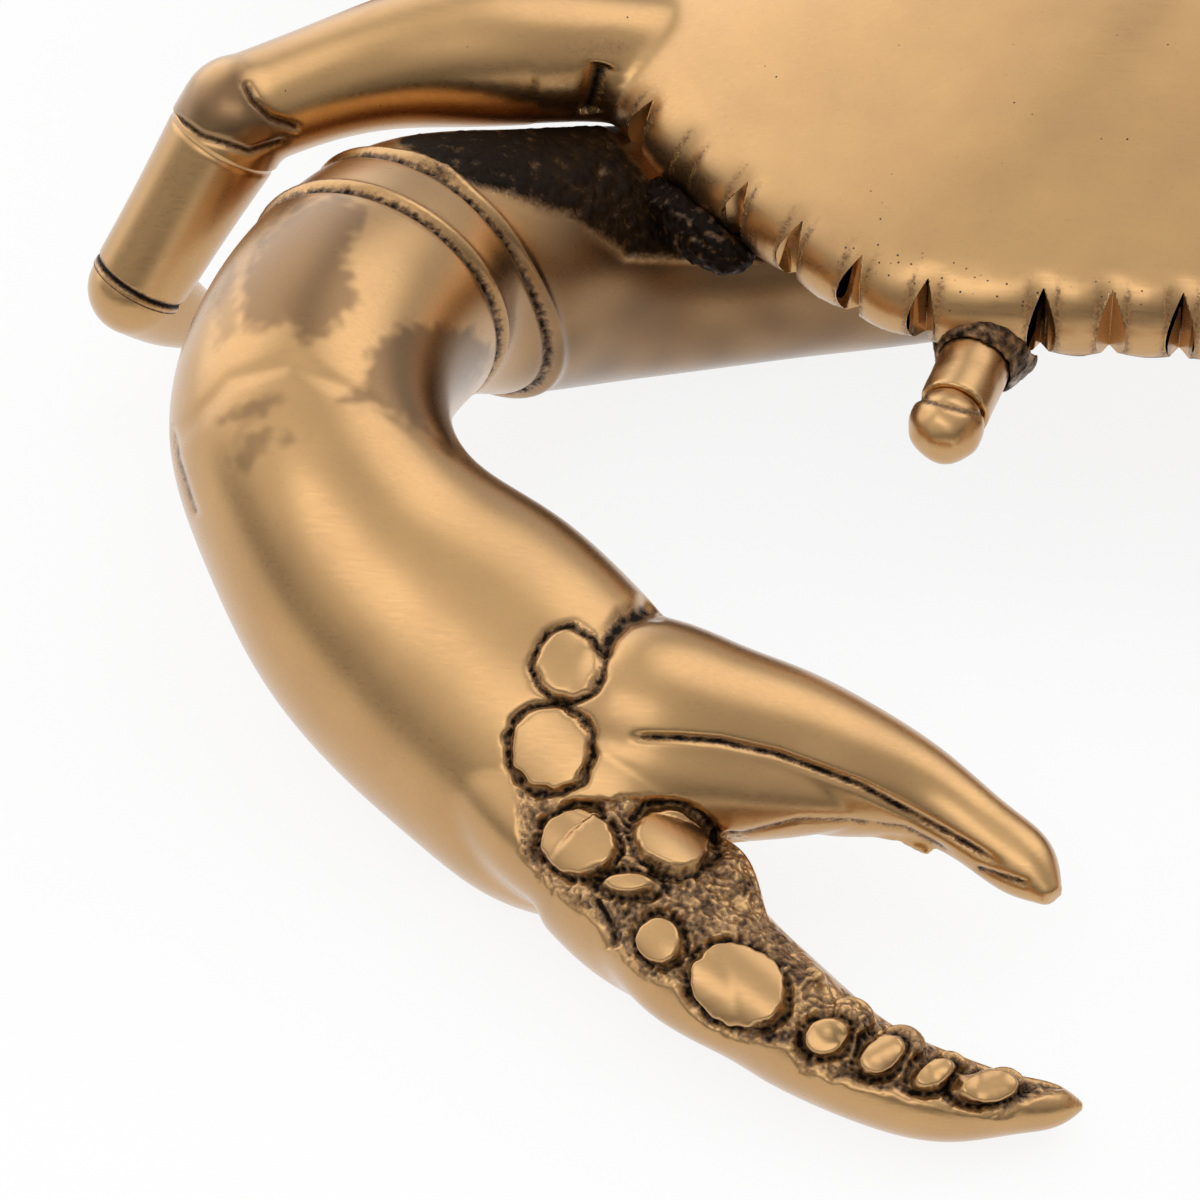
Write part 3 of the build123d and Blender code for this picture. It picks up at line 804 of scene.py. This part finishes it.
# ---- claw ----
claw = {
    "arm": [(-48.6, -16.2, 22.0, 18.6, 18.0), (-63.4, -18.5, 22.0, 20.1, 19.0),
            (-79.8, -22.1, 22.5, 21.2, 20.0), (-96.2, -25.7, 23.0, 22.6, 20.5),
            (-110.6, -31.0, 25.0, 23.5, 21.5), (-121.0, -37.0, 28.0, 24.0, 22.5),
            (-131.1, -45.0, 33.0, 24.2, 23.2)],
    "collar": (-143.4, -55.7, 40.0, 23.9, 24.0),
    "wrist": [(-149.5, -68.7, 44.5, 24.5, 25.0), (-156.2, -91.0, 47.5, 24.5, 25.5)],
    "heel": (-156.3, -108.9, 45.0, 24.9, 24.6),
    "palm": [(-150.7, -120.4, 40.0, 24.8, 24.2), (-142.9, -129.3, 34.0, 26.7, 23.8),
             (-129.0, -139.1, 28.0, 29.4, 23.3), (-112.2, -152.2, 23.5, 29.2, 21.6),
             (-99.0, -163.7, 19.5, 26.4, 19.6), (-90.0, -173.2, 17.0, 18.8, 16.0),
             (-84.0, -180.4, 15.5, 9.0, 9.0)],
    "fixedFinger": [(-98.1, -178.0, 17.5, 14.5, 15.0), (-87.9, -186.0, 15.5, 15.0, 15.6),
                    (-77.0, -195.5, 14.0, 12.5, 14.0), (-62.8, -206.3, 12.0, 10.8, 12.0),
                    (-47.3, -215.0, 10.0, 8.7, 10.0), (-32.8, -218.1, 8.5, 7.2, 8.0),
                    (-21.9, -216.6, 7.0, 4.8, 5.5), (-13.6, -215.0, 6.0, 2.1, 2.2),
                    (-11.8, -214.8, 6.0, 0.6, 0.6)],
    "finger": [(-94.4, -155.7, 31.0, 17.0, 17.0), (-79.4, -157.3, 28.0, 16.6, 15.0),
               (-67.4, -156.6, 26.0, 14.0, 13.0), (-54.7, -158.4, 23.5, 11.6, 10.5),
               (-42.6, -160.4, 21.0, 8.1, 7.6), (-31.3, -166.7, 18.5, 6.4, 5.9),
               (-23.7, -172.5, 17.0, 5.3, 4.8), (-19.9, -177.0, 16.0, 1.9, 1.9)],
    # metal that fills out the palm below, the finger's root and the web between the fingers: x, y, z, radius
    "bridge": [(-132.0, -150.0, 26.0, 8.0), (-120.0, -162.0, 23.0, 10.5), (-107.6, -174.9, 20.5, 11.4),
               (-94.0, -186.5, 18.5, 10.0), (-79.4, -200.2, 16.0, 10.5), (-68.0, -207.0, 13.5, 9.0)],
    "cheek": [(-104.0, -158.0, 27.0, 12.0), (-98.0, -160.0, 27.0, 15.0), (-86.0, -163.8, 26.8, 13.6),
              (-74.0, -164.4, 25.0, 10.6), (-62.0, -164.0, 23.4, 7.4), (-50.0, -163.6, 22.0, 4.0),
              (-42.0, -163.6, 21.0, 1.5)],
    "web": [(-79.0, -177.0, 21.0, 3.0), (-76.4, -180.8, 21.5, 4.2), (-73.5, -187.2, 22.0, 4.4),
            (-70.9, -194.3, 20.5, 4.4), (-66.9, -200.1, 18.0, 4.2)],
    # teeth, and the scalloped lip under the finger, in the picture: from, to, then radius and nearer in mm
    "teeth": [((790, 985), (812, 982), 2.6, 5.0), ((820, 1040), (849, 1024), 4.7, 6.5),
              ((880, 1062), (901, 1051), 4.5, 5.5), ((932, 1081), (948, 1073), 3.8, 4.5),
              ((984, 1098), (1003, 1092), 4.3, 3.5)],
    "lip": [((752, 833), (772, 829), 1.3, 0.5), ((784, 827), (802, 826), 1.5, 0.5),
            ((814, 826), (832, 826), 1.5, 0.5), ((845, 827), (864, 829), 1.5, 0.5),
            ((877, 831), (894, 834), 1.3, 0.5), ((908, 839), (926, 848), 1.2, 0.5)],
    "voxel": 0.6,
}
reach = claw["arm"] + [claw["collar"]] + claw["wrist"] + [claw["heel"]] + claw["palm"]

# where the details lie in the picture, in its pixels
carving = {
    "rough": [(515, 785), (560, 800), (600, 800), (622, 797), (650, 795), (690, 803), (715, 828),
              (745, 838), (760, 850), (775, 900), (800, 940), (830, 985), (880, 1000), (930, 1025),
              (985, 1040), (1040, 1065), (1070, 1085), (1030, 1100), (1005, 1118), (950, 1108), (900, 1095),
              (850, 1085), (800, 1070), (790, 1045), (730, 1040), (690, 1010), (675, 985), (640, 975),
              (612, 950), (600, 925), (545, 885), (520, 850)],
    # the ground tops of the pebbles: x, y, half width, half height, turn
    "pebbles": [(568, 664, 31, 33, 0), (550, 748, 39, 41, 0), (578, 842, 38, 34, 0), (672, 838, 40, 28, 20),
                (658, 940, 24, 24, 0), (738, 985, 50, 42, 25), (826, 1036, 24, 19, -20),
                (882, 1054, 27, 18, -35), (935, 1073, 24, 14, -28), (990, 1086, 32, 18, -5),
                (628, 882, 28, 11, 0)],
    # file and casting grooves: line, depth in mm, half width in pixels
    "grooves": [([(625, 737), (680, 738), (720, 741), (780, 755), (860, 785), (940, 830), (1010, 870)], 0.9,
                 4.5), ([(975, 868), (1030, 885)], 0.6, 3.5),
                ([(600, 655), (608, 634), (625, 616), (648, 607), (668, 609)], 1.6, 9.0),
                ([(612, 950), (605, 920), (592, 895)], 0.9, 6.0),
                ([(168, 425), (176, 455), (186, 488), (197, 520)], 0.45, 4.5),
                ([(720, 836), (745, 834), (800, 820), (850, 821), (905, 828), (960, 858)], 0.45, 3.5)],
    # the arm's top under the shell's edge: grainy oxide with the shell's shadow painted over it
    "oxideAndShadow": [(385, 132), (600, 120), (650, 180), (700, 215), (760, 262), (700, 262), (625, 258),
              (600, 240), (560, 215), (500, 195), (440, 180), (400, 150)],
    # raised rings, with a groove beside each, in mm
    "collar": {"height": 0.9, "halfWidth": 1.1, "grooveAt": 2.0, "grooveDepth": 0.7, "grooveHalf": 0.9},
    "collars": [[(417, 155), (458, 176), (487, 208), (525, 241), (541, 267), (547, 292), (541, 316)],
                [(318, 183), (345, 181), (380, 187), (415, 200), (450, 230), (482, 262), (495, 284),
                 (508, 316)]],
    # painted dark reflections on the wrist and painted shade on the arm: outline, strength
    "paintedShadeAreas": [([(245, 330), (238, 285), (262, 235), (300, 205), (335, 192), (368, 212), (345, 255),
                 (358, 300), (325, 335), (300, 342), (288, 318), (265, 332)], 0.7),
               ([(335, 402), (362, 388), (372, 348), (402, 325), (470, 328), (492, 350), (468, 400),
                 (450, 443), (412, 424), (384, 408)], 0.75),
               ([(225, 420), (250, 397), (281, 395), (262, 415), (245, 426)], 0.6),
               ([(232, 458), (245, 435), (262, 429), (303, 441), (272, 445), (243, 472)], 0.5),
               ([(212, 300), (232, 262), (240, 300), (236, 335), (216, 345)], 0.4),
               ([(520, 215), (600, 250), (655, 262), (700, 262), (760, 270), (820, 300), (780, 300),
                 (700, 285), (640, 285), (600, 268), (540, 262)], 0.45),
               ([(700, 262), (745, 268), (775, 298), (735, 318), (712, 300)], 0.5)],
    "crease": [(175, 440), (230, 380), (290, 362), (340, 385), (370, 400), (455, 448)],
}


def jointOf(stations, index):
    points = np.array([s[:3] for s in stations])
    return points[index], travel(points)[index]


def studForm(stations, start, end, radius, nearer):
    # a short stud between two spots of the picture, at the depth of the limb behind them
    centres = np.array([s[:3] for s in stations])
    seenAt = onPicture(centres)[:, 0]
    rows = []
    for x, y in (start, end):
        near = np.array([np.interp(x, seenAt, centres[:, k]) for k in range(3)])
        ray = unit(lookWay * focalPixels + rightWay * (x - pictureSize / 2) - upWay * (y - pictureSize / 2))
        rows.append(eyePoint + ray * (((near - eyePoint) @ lookWay - nearer) / (ray @ lookWay)))
    form = bmesh.new()
    for share in (0, 0.5, 1):
        place = Matrix.Translation(Vector(inFrame(rows[0] + (rows[1] - rows[0]) * share)))
        bmesh.ops.create_icosphere(form, subdivisions=3, radius=radius * mm, matrix=place)
    return form


def ringPlane(points, spots, seen, line):
    # the plane through the surface that lies under a drawn line
    under = []
    drawn = smoothPath([(x, y, 0) for x, y in line], samples=24)
    for x, y in drawn[:, :2]:
        near = seen & (np.abs(spots[:, 0] - x) < 4) & (np.abs(spots[:, 1] - y) < 4)
        if near.any():
            under.append(points[near][np.argmin(points[near] @ lookWay)])
    centre = np.mean(under, axis=0)
    return centre, np.linalg.svd(np.array(under) - centre)[2][2]


def lineGap(points, stations):
    # distance to a limb's line over its thickness there
    best = np.full(len(points), 1e9)
    rows = np.asarray([(*s[:4],) for s in stations], float)
    for a, b in zip(rows[:-1], rows[1:]):
        way = b[:3] - a[:3]
        t = np.clip(((points - a[:3]) @ way) / (way @ way), 0, 1)
        gap = np.linalg.norm(points - a[:3] - t[:, None] * way, axis=1) / (a[3] + t * (b[3] - a[3]))
        best = np.minimum(best, gap)
    return best


def carveClaw(mesh):
    co = corners(mesh)
    points = drawingPoints(mesh)
    spots = onPicture(points)
    front = facing(mesh, points)
    fine, coarse = grain(co, 0.9), grain(co, 2.2, 5.0)
    rough = step(insideOutline(spots, carving["rough"]) + 5 * coarse, -5, 7) * front
    height = rough * (0.40 * fine + 0.60 * coarse - 0.65)
    patinaAndShadow = rough * (0.34 - 0.36 * fine + 0.30 * grain(co, 5.0, 9.0))
    for x, y, wide, tall, turn in carving["pebbles"]:
        c, s = math.cos(math.radians(turn)), math.sin(math.radians(turn))
        across = ((spots[:, 0] - x) * c + (spots[:, 1] - y) * s) / wide
        down = ((spots[:, 1] - y) * c - (spots[:, 0] - x) * s) / tall
        share = np.hypot(across, down) + 0.10 * coarse
        edge = (share - 1) * min(wide, tall)
        top = (1 - step(edge, -4, 1)) * front
        ring = np.exp(-((edge - 4.5) / 4.0) ** 2) * front
        height = height * (1 - top) + (0.60 - 0.10 * np.minimum(share,
                                                                1.2) ** 2) * top - 1.0 * ring * (1 - top)
        patinaAndShadow = np.maximum(patinaAndShadow * (1 - top), ring * (1 - top) * (0.72 - 0.5 * fine))
    for line, depth, half in carving["grooves"]:
        gap, along = toLine(spots, line)
        cut = np.exp(-(gap / half) ** 2) * step(along, 0, 0.06) * (1 - step(along, 0.9, 1)) * front
        height -= depth * cut
        patinaAndShadow = np.maximum(patinaAndShadow, cut ** 2 * min(1.0, depth / 0.8) * (0.75 + 0.4 * coarse))
    # grainy oxide and painted shadow of the shell on the arm's top, raised a little
    oxideAndShadow = step(insideOutline(spots, carving["oxideAndShadow"]), -6, 10) * front
    height += oxideAndShadow * (0.30 * (fine + coarse) + 0.7)
    patinaAndShadow = np.maximum(patinaAndShadow, oxideAndShadow * (0.85 + 0.3 * coarse))
    seen = front > 0.6
    collar = carving["collar"]
    for line in carving["collars"]:
        centre, normal = ringPlane(points, spots, seen, line)
        normal = normal * np.sign(normal @ [-0.5, -1.0, 0.2])
        off = (points - centre) @ normal
        near = 1 - step(np.linalg.norm(points - centre, axis=1), 44, 50)
        groove = np.exp(-((off - collar["grooveAt"]) / collar["grooveHalf"]) ** 2) * near
        ridge = np.exp(-(off / collar["halfWidth"]) ** 2)
        height += collar["height"] * ridge * near - collar["grooveDepth"] * groove
        patinaAndShadow = np.maximum(patinaAndShadow * (1 - 0.7 * np.exp(-(off / 0.8) ** 2) * near),
                            groove * (0.65 + 0.5 * fine))
    # painted dark reflections on the wrist and painted shade on the arm's top, where the surface faces the
    # camera
    paintedShade = np.zeros(len(spots))
    for outline, strength in carving["paintedShadeAreas"]:
        edge = insideOutline(spots, outline) + 9 * coarse
        paintedShade = np.maximum(paintedShade, step(edge, -9, 9) * strength * front)
    # painted shade: the arm under the shell is darkened unevenly, as in the shell's shade
    underShell = step(points[:, 0], -134, -116) * (points[:, 1] > -80)
    paintedShade = np.maximum(paintedShade, underShell * (0.70 + 0.25 * grain(co, 9.0)))
    setValue(mesh, "paintedShade", paintedShade * (1 - np.clip(patinaAndShadow, 0, 1)))
    gap = toLine(spots, carving["crease"])[0]
    height -= 0.35 * np.exp(-(gap / 9) ** 2) * front
    lift(mesh, height)
    setValue(mesh, "patinaAndShadow", np.clip(patinaAndShadow, 0, 1))


print("claw: casting")
clawForms = [limbForm(reach, clawFace, around=160, along=400)]
knuckle = [(-112.0, -152.0, 27.0, 8.0, 8.0)]
clawForms += [limbForm(claw["fixedFinger"], clawFace, around=96, along=160)]
clawForms += [limbForm(knuckle + claw["finger"], clawFace, around=96, along=160)]
clawForms += [limbForm(claw[part], clawFace, around=48, along=60) for part in ("bridge", "cheek", "web")]
clawForms += [studForm(claw["fixedFinger"], *stud) for stud in claw["teeth"]]
clawForms += [studForm(claw["finger"], *stud) for stud in claw["lip"]]
clawCast = castAsOne("claw", clawForms, claw["voxel"])
relax(clawCast, 8)
points = drawingPoints(clawCast)
upper = np.minimum(lineGap(points, claw["finger"]), lineGap(points, claw["cheek"]))
crease = 1 - step(np.abs(upper - np.minimum(lineGap(points, claw["palm"]), 1.3)), 0.05, 0.3)
crease *= 1 - step(np.linalg.norm(points - claw["finger"][0][:3], axis=1), 26, 40)
below = 1 - step(np.abs(lineGap(points, claw["bridge"]) - np.minimum(lineGap(points, claw["palm"]),
                                                                     lineGap(points, claw["fixedFinger"]))),
                 0.05, 0.3)
below *= insideOutline(onPicture(points), carving["rough"]) < 8
relax(clawCast, 60, weight=np.maximum(crease, below), giveBack=0)
spots = onPicture(drawingPoints(clawCast))
nearBed = insideOutline(spots, carving["rough"]) > -60
clawCast = finer(clawCast, nearBed & (facing(clawCast, drawingPoints(clawCast)) > 0.1))
relax(clawCast, 3)
print("claw: carving", len(clawCast.polygons), "faces")
carveClaw(clawCast)
storeNormals(clawCast)


collarPoint, collarWay = jointOf(reach, 7)
heelPoint, heelWay = jointOf(reach, 10)
fingerPoint, fingerWay = jointOf(claw["finger"], 0)
form = bmesh.new()
form.from_mesh(clawCast)
for point, way in ((collarPoint, collarWay), (heelPoint, heelWay)):
    bmesh.ops.bisect_plane(form, geom=form.verts[:] + form.edges[:] + form.faces[:], dist=1e-7,
                           plane_co=Vector(inFrame(point)), plane_no=Vector(way))
bpy.data.meshes.remove(clawCast)
clawCast = meshOf("claw", form)
middle = faceCentres(clawCast)
pastCollar, pastHeel = (middle - collarPoint) @ collarWay > 0, (middle - heelPoint) @ heelWay > 0
isFinger = pastHeel & ((middle - fingerPoint) @ fingerWay > 0)
isFinger &= lineGap(middle, claw["finger"]) < np.minimum(lineGap(middle, claw["palm"]),
                                                         lineGap(middle, claw["fixedFinger"]))
for name, own in (("arm", ~pastCollar), ("wrist", pastCollar & ~pastHeel), ("palm", pastHeel & ~isFinger),
                  ("finger", isFinger)):
    part = facesOf(clawCast, own, name)
    print("claw:", name, len(part.polygons))
    bothSides(name, part, [brass])
bpy.data.meshes.remove(clawCast)


# ---- legs below the knee ----
def ankleBall(leg):
    form = bmesh.new()
    place = Matrix.Translation(Vector(inFrame(leg.ankle)))
    bmesh.ops.create_icosphere(form, subdivisions=5, radius=legLook["ankleRadius"] * mm, matrix=place)
    return form


for legName, leg in legs.items():
    middle = (leg.kneeJoint + leg.ankle) / 2
    end = leg.ankle - leg.shinWay * 0.6
    stations = [(*leg.kneeJoint, legLook["shinTop"]), (*middle, legLook["shinMiddle"]),
                (*end, legLook["ankleRadius"] + 0.25)]
    shin = meshOf("shin", limbForm(stations, leg.hinge, around=96, along=180,
                                   rings=[(-1.6, 0.35, 0.5), (1.0, 0.25, 0.6)]))
    off = (drawingPoints(shin) - end) @ leg.shinWay
    setValue(shin, "patinaAndShadow", 0.85 * np.exp(-((off + 1.6) / 0.7) ** 2) + 0.7 * np.exp(-(off / 0.3) ** 2))
    bothSides(legName + "_shin", shin, [brass])
    toeRows = [(*leg.ankle, legLook["ankleRadius"])] + [(*leg.spot(s), s[3]) for s in legLook["toe"]]
    toe = castAsOne("toe", [limbForm(toeRows, leg.hinge, around=96, along=90), ankleBall(leg)], 0.6)
    relax(toe, 8)
    bothSides(legName + "_toe", toe, [brass])


# ---- lumps of brazing metal ----
def roughCopy(node, voxel, lumps, dark):
    # the CAD lump cast afresh with a grainy skin
    form = bmesh.new()
    form.from_mesh(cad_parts[node].data)
    form.transform(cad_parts[node].matrix_world)
    bmesh.ops.remove_doubles(form, verts=form.verts, dist=1e-6)
    mesh = castAsOne(node, [form], voxel)
    relax(mesh, 6, giveBack=0)
    co = corners(mesh)
    lift(mesh, lumps * (0.6 * grain(co, 3.5) + 0.5 * grain(co, 1.2, 3.0) * (dark > 0)))
    setValue(mesh, "patinaAndShadow", np.clip(dark + 0.35 * grain(co, 1.5, 8.0), 0, 1))
    return mesh


bothSides("arm_braze", roughCopy("right_arm_braze", 0.4, 0.9, 0.8), [brass])
bothSides("eye_braze", roughCopy("right_eye_braze", 0.3, 0.5, 0.55), [brass])

# ---- eyes ----
eyeRing = [(916, 397), (938, 404), (958, 409), (980, 414)]
for name, voxel, lumps in (("eye_stalk", 0.35, 0.15), ("eyeball", 0.35, 0.45)):
    mesh = roughCopy("right_" + name, voxel, lumps, 0.0)
    gap = toLine(onPicture(drawingPoints(mesh)), eyeRing)[0]
    lift(mesh, -0.35 * np.exp(-(gap / 4) ** 2))
    setValue(mesh, "patinaAndShadow", 0.45 * np.exp(-(gap / 3.5) ** 2))
    bothSides(name, mesh, [brass])

# ---- CAD pieces kept as they are ----
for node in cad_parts.values():
    if not node.hide_render:
        node.data.materials.clear()
        node.data.materials.append(brass)

# ---- floor, lights, camera ----
studio = {
    "floorColour": "#F4F4F4", "floorSize": 6.0, "floorGlow": 0.87,
    "horizon": 0.60, "zenith": 0.58, "frontHorizon": 0.22,
    # soft lights in the sky: towards, extra radiance, cosine at the outer edge, cosine at the core
    "glows": [((-0.68, 0.64, 0.30), 1.05, 0.62, 0.94), ((0.45, 0.42, 0.78), 1.15, 0.84, 0.985),
              ((-0.45, -0.32, 0.83), 0.35, 0.5, 0.95)],
    "frontBox": {"at": (-0.5, -1.5, 1.9), "aim": (-0.05, 0, 0.04), "size": (1.8, 1.1), "radiance": 0.95},
}
floorForm = bmesh.new()
bmesh.ops.create_grid(floorForm, x_segments=1, y_segments=1, size=studio["floorSize"] / 2)
floor = placed("floor", meshOf("floor", floorForm))
floorPaint = bpy.data.materials.new("mattWhitePaper")
tree = emptyTree(floorPaint)
ray = addNode(tree, "LightPath")
sees = addNode(tree, "Math", {"operation": "MAXIMUM"},
               {0: ray.outputs["Is Camera Ray"], 1: ray.outputs["Is Glossy Ray"]})
sees = addNode(tree, "Math", {"operation": "MAXIMUM"},
               {0: sees.outputs[0], 1: ray.outputs["Is Transmission Ray"]})
paper = addNode(tree, "BsdfDiffuse", {"Color": hexColour(studio["floorColour"])})
glow = addNode(tree, "Emission", {"Color": (1, 1, 1, 1), "Strength": 1.0})
share = addNode(tree, "Math", {"operation": "MULTIPLY", 1: studio["floorGlow"]}, {0: sees.outputs[0]})
mix = addNode(tree, "MixShader", {}, {0: share.outputs[0], 1: paper.outputs[0], 2: glow.outputs[0]})
addNode(tree, "OutputMaterial", {}, {"Surface": mix.outputs[0]})
floor.data.materials.append(floorPaint)

world = bpy.data.worlds.new("studio")
scene.world = world
tree = emptyTree(world)
where = addNode(tree, "TexCoord").outputs["Generated"]
split = addNode(tree, "SeparateXYZ", {}, {0: where})
level = addNode(tree, "MapRange", {"From Min": 0.0, "From Max": 0.9, "To Min": studio["horizon"],
                                   "To Max": studio["zenith"]},
                {"Value": split.outputs["Z"]}).outputs["Result"]
# the dark end of the studio lies low in front
low = addNode(tree, "MapRange", {"From Min": 0.25, "From Max": 0.5, "To Min": 1.0, "To Max": 0.0},
              {"Value": split.outputs["Z"]}).outputs["Result"]
ahead = addNode(tree, "MapRange", {"From Min": 0.1, "From Max": -0.4},
                {"Value": split.outputs["Y"]}).outputs["Result"]
dim = addNode(tree, "Math", {"operation": "MULTIPLY"}, {0: low, 1: ahead}).outputs[0]
level = addNode(tree, "Mix", {"data_type": "FLOAT", 3: studio["frontHorizon"]}, {0: dim, 2: level}).outputs[0]
for towards, radiance, edge, core in studio["glows"]:
    close = addNode(tree, "VectorMath", {"operation": "DOT_PRODUCT", 1: tuple(unit(np.array(towards)))},
                    {0: where})
    close = addNode(tree, "MapRange", {"interpolation_type": "SMOOTHSTEP", "From Min": edge,
                                       "From Max": core},
                    {"Value": close.outputs["Value"]}).outputs["Result"]
    level = addNode(tree, "Math", {"operation": "MULTIPLY_ADD", 1: radiance}, {0: close, 2: level}).outputs[0]
sky = addNode(tree, "Background", {"Color": (1, 1, 1, 1)}, {"Strength": level})
addNode(tree, "OutputWorld", {}, {"Surface": sky.outputs[0]})

box = studio["frontBox"]
lamp = bpy.data.lights.new("frontBox", "AREA")
lamp.shape = "RECTANGLE"
lamp.size, lamp.size_y = box["size"]
lamp.energy = box["radiance"] * math.pi * box["size"][0] * box["size"][1]
holder = placed("frontBox", lamp)
holder.location = box["at"]
holder.rotation_mode = "QUATERNION"
holder.rotation_quaternion = (Vector(box["aim"]) - holder.location).to_track_quat("-Z", "Y")

camera = placed("camera", bpy.data.cameras.new("camera"))
eye, aim = Vector(inFrame(lens["from"])), Vector(inFrame(lens["towards"]))
camera.location = eye
camera.rotation_mode = "QUATERNION"
camera.rotation_quaternion = (aim - eye).to_track_quat("-Z", "Y")
camera.data.sensor_width = lens["sensor"]
camera.data.lens = lens["focal"]
camera.data.clip_end = 50
scene.camera = camera
scene.view_settings.view_transform = "Standard"
